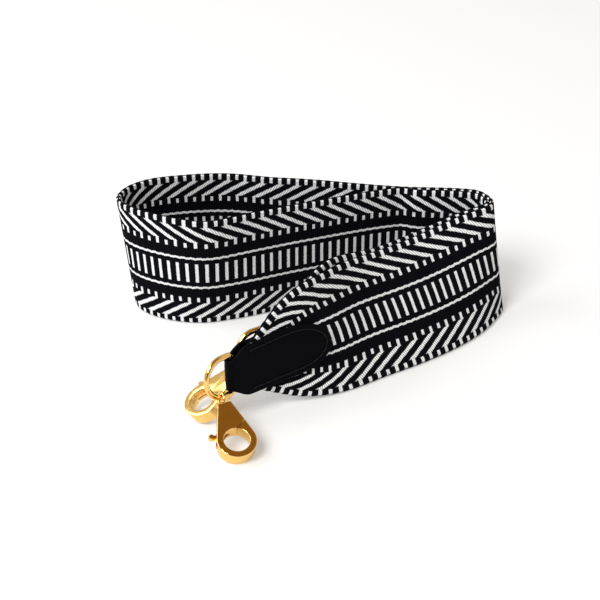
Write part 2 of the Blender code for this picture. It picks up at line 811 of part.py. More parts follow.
def build():
    for item in list(bpy.data.objects):
        bpy.data.objects.remove(item)
    at, full = outer_path()
    centre, weft = raised(at, full, tab_length)
    inner = inner_path(at, centre, weft)
    fabric = make_material("webbing", (0.12, 0.12, 0.13), 0, 0.85)
    make_band(band_rows(at, centre, weft, inner), fabric)
    ends = {
        "front": End(centre, weft, 0),
        "rear": End(inner, weft, 0),
    }
    ends["rear"].places = at - rear_end_setback
    ends["rear"].normal = ends["front"].normal
    joints = {}
    for side, heading, clasp_heading, wire_angle in (
        ("front", front_ring_heading, front_clasp_heading, front_wire_angle),
        ("rear", rear_ring_heading, rear_clasp_heading, rear_wire_angle),
    ):
        end = ends[side]
        leather = make_material(side + "_leather", (0.02, 0.02, 0.022), 0, 0.4)
        thread = make_material(side + "_thread", (0.03, 0.03, 0.032), 0, 0.7)
        gold = make_material(side + "_gold", (0.85, 0.6, 0.3), 1, 0.15)
        steel = make_material(side + "_steel", (0.6, 0.6, 0.6), 1, 0.25)
        make_tab(side + "_tab", end, leather)
        make_stitches(side + "_needle_stitches", end, 1, thread)
        make_stitches(side + "_bobbin_stitches", end, -1, thread)
        ring = Ring(end, heading)
        make_ring(side + "_d_ring", ring, gold)
        axes = clasp_axes(ring, wire_angle, clasp_heading)
        make_eye(side + "_swivel_eye", axes, gold)
        pivot = make_clasp(side, axes, gold, steel)
        joints[side] = (ring, axes, pivot)
    return joints, centred()


joints, origin_shift = build()
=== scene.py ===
"""Looks of a detachable bag strap: woven webbing, leather tabs and polished clasps, in a pale studio."""

import math

import bmesh
import bpy
import numpy as np
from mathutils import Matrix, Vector


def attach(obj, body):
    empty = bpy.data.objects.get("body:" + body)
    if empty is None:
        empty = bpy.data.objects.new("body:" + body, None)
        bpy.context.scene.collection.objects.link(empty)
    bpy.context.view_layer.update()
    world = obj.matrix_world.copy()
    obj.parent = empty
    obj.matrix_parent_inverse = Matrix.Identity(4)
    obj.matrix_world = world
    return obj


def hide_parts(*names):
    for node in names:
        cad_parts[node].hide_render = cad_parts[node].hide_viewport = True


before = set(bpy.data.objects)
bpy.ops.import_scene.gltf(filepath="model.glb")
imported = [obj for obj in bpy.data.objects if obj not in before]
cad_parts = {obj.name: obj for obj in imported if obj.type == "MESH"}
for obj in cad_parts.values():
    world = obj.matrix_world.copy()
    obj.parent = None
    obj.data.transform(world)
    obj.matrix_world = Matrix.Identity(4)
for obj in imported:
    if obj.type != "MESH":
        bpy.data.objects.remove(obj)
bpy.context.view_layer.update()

# Every size is in metres and every angle in radians, unless its name says otherwise.

# Webbing band
strap_width = 0.050
strap_thickness = 0.0018
gathered_thickness = 0.0026
layer_gap = 0.0003
coil_length = 0.166
sample_spacing = 0.0010
path_steps = 1600
fine_row_spacing = 0.00062
band_columns = 37
band_edge_share = 0.55
edge_scallop = 0.00009

# Gathered ends
gather_radius = 0.046
gather_angle = math.radians(33)
edge_turn_back = 0.0012
rear_end_setback = 0.020
tab_space = 0.0012
nest_length = 0.040

# Leather tabs
tab_length = 0.0485
tab_half_width = 0.0103
tab_neck_half_width = 0.0062
tab_neck_length = 0.0090
tab_tip_start = 0.0024
tab_tip_length = 0.0168
tab_tip_first_angle = 0.02
tab_tip_least_share = 0.0004
tab_tip_rows = 34
tab_straight_rows = 60
tab_fold_rows = 27
tab_columns = 45
tab_edge_share = 0.65
fold_width_share = 0.6
leather_thickness = 0.0012
leather_rim_power = 2.6
groove_depth = 0.00014
groove_half_width = 0.00055
groove_rim_share = 0.2
swell_height = 0.00007
swell_start = 0.0006
swell_reach = 0.003
fit_gap = 0.0003
fold_sag = 0.0042
end_heading = math.radians(211.3)

# Stitches
stitch_inset = 0.0024
stitch_pitch = 0.0029
stitch_half_width = 0.00028
stitch_lift = 0.00012
stitch_sink = 0.00010
stitch_seat_share = 0.55
stitch_flat_share = 0.8
stitch_dip_share = 0.4
stitch_shoulder_share = 0.17
stitch_steps = 12
seam_points = 240
stitch_sides = 9

# D-rings
ring_wire_radius = 0.00115
ring_half_height = 0.0081
ring_leg = 0.00475
ring_corner = 0.0018
ring_sides = 28
ring_bow_points = 73
ring_corner_points = 13
ring_leg_points = 8
ring_bar_points = 24

# Swivel eyes
eye_wire_radius = 0.00055
eye_half_length = 0.0023
eye_half_width = 0.0021
eye_steps = 72
eye_sides = 20
eye_seat_share = 0.7
eye_hang_share = 0.5
eye_foot_share = 1.3
collar_radius = 0.0014
collar_length = 0.0008
post_radius = 0.0009
post_head_radius = 0.0013
post_head_length = 0.0010
neck_wall = 0.0013
turned_edge = 0.00015
turned_sides = 48
running_gap = 0.00006

# An edge that turns by more than its crease angle stays sharp
usual_crease = math.radians(35)
leather_crease = math.radians(60)
metal_crease = math.radians(30)

# Clasps
clasp_radius = 0.0076
clasp_eye_radius = 0.00505
clasp_end_half_width = 0.0026
clasp_length = 0.0171
clasp_thickness = 0.0055
clasp_edge_radius = 0.00025
clasp_edge_steps = 5
end_steps = 7
flank_steps = 29
round_steps = 108
pivot_radius_place = 0.0070
pivot_angle = math.radians(38)
pin_radius = 0.0006
pin_cover = 0.0007
pin_hole_sides = 40
shoulder_points = 48
slot_points = 52
slot_hub_points = 30
tang_points = 30
tang_hub_points = 36
hub_radius = 0.00135
shoulder_radius = 0.0064
shoulder_start = math.radians(112)
shoulder_end = math.radians(212)
slot_half_height = 0.0014
slot_start = math.radians(62)
slot_end = math.radians(262)
slot_hub_start = math.radians(-98)
tang_start = math.radians(106)
tang_past_pivot = math.radians(8)
tang_hub_start = math.radians(100)
tang_hub_end = math.radians(-140)
tang_low = -0.00125
tang_high = 0.00010
part_gap = 0.00020
seam_along = 0.0062
seam_across = -0.0032
seam_angle = math.radians(-49)
knob_along = 0.0044
knob_across = 0.0086
knob_radius = 0.0013
knob_half_height = 0.0012
knob_barrel_share = 0.35
knob_barrel_power = 3.2
knob_stem_share = 0.6
knob_rows = 13
knob_sides = 36

# Where the clasps lie
front_clasp_heading = math.radians(109.3)
rear_clasp_heading = math.radians(34)
front_ring_heading = math.radians(223.4)
rear_ring_heading = math.radians(205)
front_wire_angle = math.radians(12)
rear_wire_angle = math.radians(54)

# From the plan that the path is drawn in to the frame of the whole object
frame_shift = np.array([0.00031475, 0.00054163, 0])

# Weave: bars counted along the band from the front end, the pitch outside that stretch, and the rows' bow
bar_counts = [
    (0.0460, 0.5), (0.0646, 4.5), (0.0865, 9.5), (0.1192, 17.5), (0.1910, 36.5), (0.2439, 50.5),
    (0.2925, 63.5), (0.3362, 75.5), (0.3727, 84.5), (0.4266, 98.5),
]
last_knot = 0.620
weave_pitch = 0.0040
bow_depth = 0.0041
bow_fade = 0.027
bow_reach = 0.023
bow_limit = 0.2
still_middle = 0.006

# Weave: picks in a pitch, half widths as shares of the pitch, and places across the band in millimetres,
# then how far the threads waver and how many waves, floats and ribs they make in a pitch
picks = 7
bar_half_share = 0.168
inner_square_half_share = 0.155
inner_long_half_share = 0.08
rim_square_half_share = 0.175
rim_long_half_share = 0.09
stripe_half_share = 0.19
cut_share = 0.03
cut_mm = 0.1
bars_reach_mm = 4.45
line_middle_mm = 7.03
line_half_mm = 0.5
inner_squares_mm = (12.1, 14.25)
inner_longs_mm = (12.1, 15.1)
stripes_mm = (14.85, 21.95)
rim_squares_mm = (22.5, 24.75)
rim_longs_mm = (21.7, 24.75)
slant_foot_mm = 21.7
slant_run_mm = 7.1
slant_pitches = 3
wander_mm = 0.22
wander_share = 0.05
slant_wander_share = 0.02
line_cut_mm = 0.12
rope_waves = 1.25
rope_mm = 0.13
ripple_waves = 3.1
ripple_mm = 0.07
floats_in_pitch = 4.1
float_lean = 3.8
ribs_in_pitch = 4

# Colours
white_thread = (1.0, 1.0, 1.0)
white_thread_shade = (0.34, 0.35, 0.37)
black_thread = (0.0052, 0.0053, 0.0078)
black_thread_shade = (0.0004, 0.0004, 0.0008)
calf = (0.0025, 0.0025, 0.004)
calf_shade = (0.0006, 0.0006, 0.001)
seam_thread = (0.012, 0.012, 0.014)
seam_thread_shade = (0.003, 0.003, 0.004)
gold_plate = (0.93, 0.62, 0.23)
gold_plate_shade = (0.84, 0.51, 0.13)
steel = (0.62, 0.60, 0.57)
steel_shade = (0.42, 0.41, 0.39)
table_white = (0.92, 0.92, 0.92)
table_white_shade = (0.88, 0.885, 0.89)

# Grain of each finish: how many marks to the metre, and how deep the relief goes
weave_fuzz = 6000
weave_relief = 0.00022
leather_pebbles = 1900
leather_relief = 0.00006
thread_strands = 900
thread_relief = 0.00005
gold_smears = 260
gold_ripples = 620
gold_hairlines = (900, 6000, 2500)
gold_relief = 0.00006
steel_drawing_marks = (3000, 3000, 9000)
steel_relief = 0.00001

# Studio: camera, table and lamps, then the room's colours and the sines of the heights where they lie
camera_elevation = math.radians(32)
towards_camera = (0, -math.cos(camera_elevation), math.sin(camera_elevation))
camera_aim = (-0.0050, 0.0469, 0)
camera_distance = 0.700
camera_lens_mm = 96
camera_sensor_mm = 36
table_half_width = 4.0
floor_glow = 0.25
lamp_aim = (0, 0, 0.02)
window_place = (-1.3, 0.15, 1.1)
window_width = 0.9
window_watts = 11.0
window_colour = (0.90, 0.96, 1.0)
softbox_place = (-0.70, -0.90, 1.32)
softbox_width = 0.75
softbox_watts = 26.0
softbox_colour = (0.985, 0.995, 1.0)
horizon_colour = (0.60, 0.62, 0.64)
wall_height = 0.76
wall_colour = (0.74, 0.73, 0.70)
ceiling_height = 0.90
ceiling_colour = (0.25, 0.14, 0.04)
patch_rim = 0.84
patch_core = 0.95
patch_colour = (0.10, 0.07, 0.04)

# The band's path along its outer face: place as shares of the coil's length, then the tilt of the weft line
path_shares = [
    (0.049, -0.103, -0.32, 0.22), (0.120, -0.031, -0.35, 0.38), (0.206, 0.039, -0.36, 0.49),
    (0.287, 0.096, -0.345, 0.5), (0.369, 0.155, -0.32, 0.42), (0.410, 0.184, -0.295, 0.3),
    (0.446, 0.213, -0.25, 0.16), (0.472, 0.240, -0.17, 0.09), (0.477, 0.271, -0.12, 0.02),
    (0.466, 0.301, -0.09, 0), (0.439, 0.327, -0.05, 0.02), (0.399, 0.339, -0.02, 0.02),
    (0.342, 0.345, 0, 0.02), (0.261, 0.349, 0, 0.02), (0.190, 0.357, 0, 0.02),
    (0.098, 0.373, 0, 0.02), (-0.027, 0.395, 0, 0.02), (-0.123, 0.407, 0, 0.02),
    (-0.194, 0.422, 0, 0.02), (-0.278, 0.424, 0, 0.02), (-0.357, 0.412, -0.02, 0.02),
    (-0.430, 0.386, -0.05, 0.03), (-0.468, 0.351, -0.09, 0.02), (-0.484, 0.310, -0.11, 0.02),
    (-0.479, 0.270, -0.11, 0.07), (-0.451, 0.231, -0.08, 0.09), (-0.408, 0.202, -0.07, 0.09),
    (-0.362, 0.181, -0.05, 0.06), (-0.313, 0.167, -0.03, 0.02), (-0.264, 0.164, 0, -0.01),
    (-0.216, 0.177, 0, 0), (-0.158, 0.200, 0, 0.03), (-0.057, 0.242, 0, 0.02),
    (0.095, 0.298, 0, 0.02), (0.173, 0.324, 0, 0.02), (0.225, 0.337, 0, 0.02),
]
fold_tilt_shares = (-0.03, 0.16)
mid_tilt_shares = (-0.18, 0.18)
meeting_share = 0.275


def unit(v):
    """Vectors of length one, of the same direction."""
    return v / np.linalg.norm(v, axis=-1, keepdims=True)


def smooth(x):
    """Ease from 0 to 1: three x squared less two x cubed."""
    x = np.clip(x, 0, 1)
    return x * x * (3 - 2 * x)


def spline(knots, values, places):
    """Natural cubic curve through the values at the knots, taken at the places."""
    n = len(knots)
    step = np.diff(knots)
    slope = np.diff(values, axis=0) / step[:, None]
    matrix = np.eye(n)
    inside = np.arange(1, n - 1)
    matrix[inside, inside - 1] = step[:-1]
    matrix[inside, inside] = 2 * (step[:-1] + step[1:])
    matrix[inside, inside + 1] = step[1:]
    right = np.zeros_like(values)
    right[1:-1] = 6 * (slope[1:] - slope[:-1])
    bend = np.linalg.solve(matrix, right)
    k = np.clip(np.searchsorted(knots, places) - 1, 0, n - 2)
    h = step[k][:, None]
    a = (knots[k + 1] - places)[:, None]
    b = (places - knots[k])[:, None]
    return (
        (bend[k] * a**3 + bend[k + 1] * b**3) / (6 * h)
        + (values[k] / h - bend[k] * h / 6) * a
        + (values[k + 1] / h - bend[k + 1] * h / 6) * b
    )


def arc(points):
    """Length run up to each point of a line."""
    return np.concatenate([[0], np.cumsum(np.linalg.norm(np.diff(points, axis=0), axis=1))])


def outer_path():
    """The outer layer's plan line and weft tilt at each millimetre, from the front fold to the meeting."""
    rows = np.array(path_shares, float)
    places = rows[:, :2] * coil_length
    along = np.array([math.cos(end_heading), math.sin(end_heading)])
    ends = [places[0] + along * tab_length, places[0] + along * tab_length / 2]
    xy = np.vstack([ends, places])
    tilt = np.vstack([fold_tilt_shares, mid_tilt_shares, rows[:, 2:]])
    knots = arc(xy)
    dense = spline(knots, np.hstack([xy, tilt]), np.linspace(0, knots[-1], path_steps))
    run = arc(dense[:, :2])
    at = np.linspace(0, run[-1], int(round(run[-1] / sample_spacing)) + 1)
    return at, np.stack([np.interp(at, run, c) for c in dense.T], 1)


def raised(at, full):
    """Rows in space: each weft line's foot is on the floor, and the tab's end sags."""
    run = unit(np.gradient(full[:, :2], axis=0))
    plan = full[:, :2] + np.column_stack([-run[:, 1], run[:, 0]]) * strap_thickness / 2
    rx, ry = full[:, 2], full[:, 3]
    rz = np.sqrt(1 - rx**2 - ry**2)
    sag = fold_sag * (1 - smooth(at / tab_length))
    z = rz * strap_width / 2 + np.sqrt(1 - rz**2) * strap_thickness / 2 - sag
    return np.column_stack([plan, z]), np.stack([rx, ry, rz], 1)


def frames(centre, weft):
    """Tangent, weft and face normal of each row."""
    tangent = unit(np.gradient(centre, axis=0))
    return tangent, weft, unit(np.cross(weft, tangent))


def thickness_at(a):
    """The webbing's thickness at a distance a past the tongue's tip: full halfway to the fold."""
    return strap_thickness + (gathered_thickness - strap_thickness) * smooth(a / (tab_length / 2))


def edge_curve(a):
    """Half width at a distance a past the tongue's tip: an arc that turns inwards, then a straight run."""
    bend = gather_radius * math.sin(gather_angle)
    turned = np.clip(a, 0, bend)
    inward = gather_radius - np.sqrt(gather_radius**2 - turned**2)
    return strap_width / 2 - inward - np.clip(a - bend, 0, None) * math.tan(gather_angle)


class End:
    """One gathered end: frames by the distance a from the tongue's tip towards the fold."""

    def __init__(self, centre, weft, normal, places):
        tangent = unit(np.gradient(centre, axis=0))
        near = slice(0, int((tab_length + nest_length) / sample_spacing))
        self.places = places[near]
        self.field = np.hstack([centre, -tangent, weft, normal])[near]

    def frame(self, a):
        """Place, direction to the fold, weft and face normal, with a straight run past the last row."""
        s = tab_length - np.atleast_1d(np.asarray(a, float))
        pick = spline(self.places, self.field, np.clip(s, self.places[0], None))
        beyond = np.clip(self.places[0] - s, 0, None)[:, None]
        x = pick[:, :3] + beyond * self.field[0, 3:6]
        return x, unit(pick[:, 3:6]), unit(pick[:, 6:9]), unit(pick[:, 9:])


def inner_path(at, centre, weft):
    """The inner layer beside the outer one, from the meeting back to the rear fold."""
    tangent = unit(np.gradient(centre, axis=0))
    plan = unit(np.column_stack([-tangent[:, 1], tangent[:, 0], np.zeros(len(at))]))
    normal = unit(np.cross(weft, tangent))
    lean = np.abs(np.sum(plan * normal, axis=1))
    one_layer = strap_thickness + layer_gap
    one_tab = gathered_thickness + 2 * leather_thickness + 3 * fit_gap + tab_space
    near = smooth((tab_length + nest_length - at) / nest_length)
    offset = one_layer + (one_tab - one_layer) * near
    return centre + plan * (offset / lean)[:, None]


def band_rows(at, centre, weft, inner):
    """Fine rows of the whole band: place, weft, distance past either tongue's tip, and length so far."""
    clear = 2 * (ring_wire_radius + fit_gap) + leather_thickness + strap_thickness
    first = int(np.argmax(at > clear))
    turn = int(np.argmax((centre[:, 0] < meeting_share * coil_length) & (at > tab_length * 3)))
    last = int(np.argmax(at > clear + rear_end_setback))
    places = np.vstack([centre[first:], inner[turn:last:-1]])
    wefts = np.vstack([weft[first:], weft[turn:last:-1]])
    s = arc(places)
    distance = np.linspace(0, s[-1], int(round(s[-1] / fine_row_spacing)) + 1)
    both = spline(s, np.hstack([places, wefts]), distance)
    front = tab_length - at[first] - distance
    rear = tab_length - (at[last] - rear_end_setback) - (s[-1] - distance)
    return both[:, :3], unit(both[:, 3:]), front, rear, distance


def put_in_scene(name, vertices, faces, sharp=usual_crease):
    """A mesh from whole arrays of points and faces, with faces turned outwards."""
    mesh = bpy.data.meshes.new(name)
    mesh.from_pydata(np.asarray(vertices).tolist(), [], [tuple(f) for f in faces])
    work = bmesh.new()
    work.from_mesh(mesh)
    bmesh.ops.recalc_face_normals(work, faces=work.faces)
    work.to_mesh(mesh)
    work.free()
    return finished(name, mesh, sharp)


def finished(name, mesh, sharp):
    """The mesh as an object in the scene, smooth except at edges past the sharp angle."""
    mesh.polygons.foreach_set("use_smooth", np.ones(len(mesh.polygons), bool))
    mesh.set_sharp_from_angle(angle=sharp)
    item = bpy.data.objects.new(name, mesh)
    bpy.context.scene.collection.objects.link(item)
    return item


def grid_faces(rows, columns, round_rows=False, round_columns=True):
    """Quads between the points of a grid that may close on itself either way."""
    i = np.arange(rows if round_rows else rows - 1)[:, None]
    k = np.arange(columns if round_columns else columns - 1)[None]
    j, q = (i + 1) % rows, (k + 1) % columns
    return np.stack([i * columns + k, i * columns + q, j * columns + q, j * columns + k], -1).reshape(-1, 4)


def tube(rings, closed=False):
    """Points and faces of a tube through successive rings, with flat ends unless it closes."""
    rows, columns = rings.shape[:2]
    faces = grid_faces(rows, columns, closed).tolist()
    if not closed:
        faces += [list(range(columns)), list(range((rows - 1) * columns, rows * columns))]
    return rings.reshape(-1, 3), faces


def bars_before(places):
    """How many bars lie before each place, which may be outside the counted stretch."""
    known = np.array(bar_counts)
    knots = np.concatenate([[0], known[:, 0], [last_knot]])
    first = known[0, 1] - known[0, 0] / weave_pitch
    last = known[-1, 1] + (knots[-1] - known[-1, 0]) / weave_pitch
    counts = np.concatenate([[first], known[:, 1], [last]])
    return spline(knots, counts[:, None], places.ravel()).reshape(places.shape)


def weave_places(front, rear, across, distance):
    """Place in the flat weave of each point of the band. Near a gathered end the threads keep their distance
    from the selvedge, which turns inwards along an arc and then a straight line, and the rows bow towards the
    end, less as the exponential of the distance from it."""
    long = np.repeat(distance[:, None], across.shape[1], 1)
    wide = across * 1.0
    for a, sign in ((front, -1), (rear, 1)):
        a = np.clip(a, -bow_limit, None)[:, None]
        y = np.abs(across)
        bend = gather_radius * math.sin(gather_angle)
        hub = strap_width / 2 - gather_radius
        turn = np.clip(np.arctan2(a, y - hub), 0, gather_angle)
        out = np.array([math.sin(gather_angle), math.cos(gather_angle)])
        start = np.array([bend, hub + gather_radius * math.cos(gather_angle)])
        rel_a, rel_y = a - start[0], y - start[1]
        past = np.clip(rel_a * out[1] - rel_y * out[0], 0, None)
        from_edge = np.where(
            turn < gather_angle, gather_radius - np.hypot(a, y - hub), -(rel_a * out[0] + rel_y * out[1])
        )
        edge_run = gather_radius * turn + past
        gathered = a > 0
        reach = np.where(gathered, (strap_width / 2 - from_edge) * smooth(y / still_middle), y)
        share = smooth(reach / bow_reach)
        bow = bow_depth * np.exp(np.clip(a, None, 0) / bow_fade)
        shifted = np.where(gathered, edge_run - a, 0) - bow
        long = long + sign * share * shifted
        width = np.sign(across) * np.clip(strap_width / 2 - from_edge, 0, strap_width / 2)
        wide = np.where(gathered, across + share * (width - across), wide)
    return bars_before(long) * weave_pitch, wide


def make_webbing(rows):
    """The whole band as one closed sheet: rows of a rounded flat section carried along the path. The height
    of the face falls to nothing at the selvedge as a quarter circle does, and the selvedge steps inwards by a
    cosine, once a pitch."""
    centre, weft, front, rear, distance = rows
    _, weft, normal = frames(centre, weft)
    half = np.minimum(edge_curve(front), edge_curve(rear))
    thick = np.maximum(thickness_at(front), thickness_at(rear))
    turn_back = edge_turn_back * (smooth(front / tab_length) - smooth(rear / tab_length))
    t = np.linspace(-1, 1, band_columns)
    u = (1 - band_edge_share) * t + band_edge_share * np.sin(t * math.pi / 2)
    long, wide = weave_places(front, rear, half[:, None] * u, distance)
    wave = edge_scallop * (np.cos(2 * math.pi * long[:, [0, -1]] / weave_pitch) - 1)
    reach = half[:, None] + np.where(u < 0, wave[:, :1], wave[:, 1:])
    across = reach * u
    rim = np.clip((np.abs(across) - reach + thick[:, None] / 2) / (thick[:, None] / 2), 0, 1)
    rise = np.sqrt(1 - rim**2) * thick[:, None] / 2
    past = np.clip((np.abs(across) - tab_half_width) / (strap_width / 2 - tab_half_width), 0, 1)
    back = turn_back[:, None] * past
    faces_out, uv = [], []
    for side, columns in ((1, slice(None)), (-1, slice(-2, 0, -1))):
        out = (side * rise + back)[:, columns]
        y = across[:, columns]
        faces_out.append(centre[:, None] + y[..., None] * weft[:, None] + out[..., None] * normal[:, None])
        uv.append(np.stack([long[:, columns], wide[:, columns]], -1))
    rings = np.concatenate(faces_out, 1) + frame_shift
    uv = np.concatenate(uv, 1).reshape(-1, 2)
    n, m = rings.shape[:2]
    faces = grid_faces(n, m).tolist()
    k = np.arange(1, len(u) - 2)
    cap = np.stack([k, k + 1, m - 1 - k, m - k], 1).tolist()
    cap += [[0, 1, m - 1], [len(u) - 2, len(u) - 1, len(u)]]
    faces += cap + [[i + (n - 1) * m for i in face] for face in cap]
    item = put_in_scene("webbing_band", rings.reshape(-1, 3), faces)
    layer = item.data.uv_layers.new(name="weave")
    corner = np.empty(len(item.data.loops), np.int32)
    item.data.loops.foreach_get("vertex_index", corner)
    layer.data.foreach_set("uv", uv[corner].astype(np.float32).ravel())
    return item, float(distance[-1])


def tab_width_at(a):
    """Half width of a tongue: half an ellipse at its tip, and a narrower neck at the fold."""
    run = np.clip((a - tab_tip_start) / tab_tip_length, 0, 1)
    round_end = np.sqrt(np.clip(1 - (1 - run) ** 2, tab_tip_least_share, 1))
    neck = smooth((tab_length - np.asarray(a, float)) / tab_neck_length)
    return round_end * (tab_neck_half_width + (tab_half_width - tab_neck_half_width) * neck)


def tongue_out(a):
    """From the webbing's middle to the middle of a tongue's leather."""
    return thickness_at(a) / 2 + fit_gap + leather_thickness / 2


def seam_line():
    """The seam inside a tongue's outline: distance from the tip, and place across."""
    tip = tab_tip_start + stitch_inset
    a = np.linspace(tip, tab_length - tab_neck_length, seam_points)
    inner = np.clip((a - tip) / (tab_tip_length - stitch_inset), 0, 1)
    half = np.clip(tab_width_at(a) - stitch_inset, 0, None)
    half = np.minimum(half, (tab_half_width - stitch_inset) * np.sqrt(1 - (1 - inner) ** 2))
    return np.concatenate([a[::-1], a[1:]]), np.concatenate([-half[::-1], half[1:]])


def make_tab(name, end):
    """A leather strip folded round the ring's bar. Its faces fall away at the cut edges as a superellipse,
    sink along the seam by a bell curve of the distance from it, and swell slightly between."""
    fold_radius = tongue_out(tab_length)
    straight = tab_length - fold_radius - leather_thickness / 2
    tip_angle = np.linspace(tab_tip_first_angle, math.pi / 2, tab_tip_rows)
    tip_part = tab_tip_start + tab_tip_length * (1 - np.cos(tip_angle))
    flat = np.concatenate([tip_part, np.linspace(tip_part[-1], straight, tab_straight_rows)[1:]])
    angle = np.linspace(0, math.pi, tab_fold_rows + 2)[1:-1]
    a = np.concatenate([flat, straight + fold_radius * np.sin(angle), flat[::-1]])
    out = np.concatenate([tongue_out(flat), fold_radius * np.cos(angle), -tongue_out(flat[::-1])])
    width = tab_width_at(np.minimum(a, straight + fold_radius * fold_width_share))
    x, _, r, n = end.frame(np.minimum(a, tab_length))
    middle = x + out[:, None] * n
    outward = unit(np.cross(unit(np.gradient(middle, axis=0)), r))
    outward = outward * np.sign(np.sum(outward[0] * n[0]))
    k = np.linspace(-1, 1, tab_columns)
    u = (1 - tab_edge_share) * k + tab_edge_share * np.sin(k * math.pi / 2)
    across = width[:, None] * u
    rim = np.clip((np.abs(across) - width[:, None] + leather_thickness / 2) / (leather_thickness / 2), 0, 1)
    rise = np.sqrt(1 - rim**leather_rim_power) * leather_thickness / 2
    away = np.full(across.shape, tab_length)
    for seam_a, seam_w in zip(*seam_line()):
        away = np.minimum(away, np.hypot(a[:, None] - seam_a, across - seam_w))
    groove = groove_depth * np.exp(-((away / groove_half_width) ** 2))
    within_seam = np.abs(across) < width[:, None] - stitch_inset
    swell = swell_height * smooth((away - swell_start) / swell_reach) * within_seam
    top = rise - groove * (rim < groove_rim_share) + swell
    faces = middle[:, None] + across[..., None] * r[:, None] + top[..., None] * outward[:, None]
    under = middle[:, None] + across[..., None] * r[:, None] - rise[..., None] * outward[:, None]
    rings = np.concatenate([faces, under[:, -2:0:-1]], 1) + frame_shift
    return put_in_scene(name, *tube(rings), sharp=leather_crease)


def make_stitches(name, end, side):
    """The seam's thread: a round cord on the seam line whose radius swells in each stitch and thins where
    it dips between them."""
    line_a, line_w = seam_line()
    at = arc(np.column_stack([line_a, line_w]))
    count = int(at[-1] // stitch_pitch)
    quarter = stitch_steps // 4
    places = np.linspace(0, at[-1], count * stitch_steps + 1)[quarter:-quarter]
    share = (places / (at[-1] / count)) % 1
    body = smooth((0.5 - np.abs(share - 0.5)) / stitch_shoulder_share)
    size = stitch_half_width * (stitch_dip_share + (1 - stitch_dip_share) * body)
    pa = np.interp(places, at, line_a)
    pw = np.interp(places, at, line_w)
    ride = stitch_lift * body - stitch_sink * (1 - body) + size * stitch_seat_share
    lift = tongue_out(pa) + leather_thickness / 2 + ride
    x, _, r, normal = end.frame(pa)
    low = x + pw[:, None] * r + (side * lift)[:, None] * normal
    run = unit(np.gradient(low, axis=0))
    wide = unit(np.cross(run, normal))
    turn = np.linspace(0, 2 * math.pi, stitch_sides, endpoint=False)
    ring = (
        low[:, None]
        + (size[:, None] * np.cos(turn))[..., None] * wide[:, None]
        + (size[:, None] * np.sin(turn) * stitch_flat_share)[..., None] * normal[:, None]
    )
    return put_in_scene(name, *tube(ring + frame_shift))


def sweep_loop(points, radius, sides, flat_normal):
    """Closed round wire along a flat loop of points."""
    tangent = unit(np.roll(points, -1, 0) - np.roll(points, 1, 0))
    across = np.cross(tangent, flat_normal)
    turn = np.linspace(0, 2 * math.pi, sides, endpoint=False)
    ring = (
        points[:, None]
        + radius * np.cos(turn)[None, :, None] * across[:, None]
        + radius * np.sin(turn)[None, :, None] * np.array(flat_normal)[None, None]
    )
    return tube(ring, closed=True)


class Ring:
    """Frame of a D-ring: bar place, bar direction, and the direction from the bar to the bow."""

    def __init__(self, end, heading):
        x, _, r, _ = end.frame(tab_length - tongue_out(tab_length) - leather_thickness / 2)
        self.bar = x[0]
        self.up = r[0]
        plan = np.array([math.cos(heading), math.sin(heading), 0])
        self.out = unit(plan - self.up * np.dot(plan, self.up))
        self.normal = np.cross(self.out, self.up)

    def wire(self, angle):
        """Place and tangent of the bow's wire at an angle from its middle."""
        d = ring_leg + ring_half_height * math.sin(angle)
        h = -ring_half_height * math.cos(angle)
        place = self.bar + d * self.out + h * self.up
        return place, unit(math.cos(angle) * self.out + math.sin(angle) * self.up)

    def outline(self):
        """A half circle, two short legs, rounded corners and the straight bar, in fine steps."""
        bow = np.linspace(-math.pi / 2, math.pi / 2, ring_bow_points)
        corner = np.linspace(math.pi / 2, math.pi, ring_corner_points)
        leg = np.linspace(ring_leg, ring_corner, ring_leg_points)[1:-1]
        straight = ring_half_height - ring_corner
        bar = np.linspace(straight, -straight, ring_bar_points)[1:-1]
        d = np.concatenate([leg, ring_corner + ring_corner * np.cos(corner)])
        h = np.concatenate([leg * 0, ring_corner * np.sin(corner) - ring_corner]) + ring_half_height
        d = np.concatenate([ring_leg + ring_half_height * np.cos(bow), d, bar * 0, d[::-1]])
        h = np.concatenate([ring_half_height * np.sin(bow), h, bar, -h[::-1]])
        return self.bar + d[:, None] * self.out + h[:, None] * self.up


def lathe(profile, sides):
    """Closed solid of revolution about x from (x, radius) pairs that begin and end on the axis."""
    turn = np.linspace(0, 2 * math.pi, sides, endpoint=False)
    x, r = np.array(profile[1:-1]).T
    rings = np.stack([
        np.repeat(x[:, None], sides, 1), r[:, None] * np.cos(turn), r[:, None] * np.sin(turn)
    ], -1)
    vertices, faces = tube(rings)
    faces = faces[:-2]
    vertices = np.vstack([vertices, [profile[0][0], 0, 0], [profile[-1][0], 0, 0]])
    k = np.arange(sides)
    q, n = (k + 1) % sides, len(vertices)
    base = (len(x) - 1) * sides
    faces += np.stack([k, q, np.full(sides, n - 2)], 1).tolist()
    faces += np.stack([base + k, base + q, np.full(sides, n - 1)], 1).tolist()
    return vertices, faces


def prism(outline, low, high):
    """An outline carried straight up from the low height to the high one."""
    outline = np.array(outline)
    rings = np.array([np.column_stack([outline, np.full(len(outline), z)]) for z in (low, high)])
    return tube(rings)


def upright(pivot, radius, low, high, sides):
    """A cylinder that stands on the pivot's place."""
    turn = np.linspace(0, 2 * math.pi, sides, endpoint=False)
    return prism(pivot + radius * np.stack([np.cos(turn), np.sin(turn)], 1), low, high)


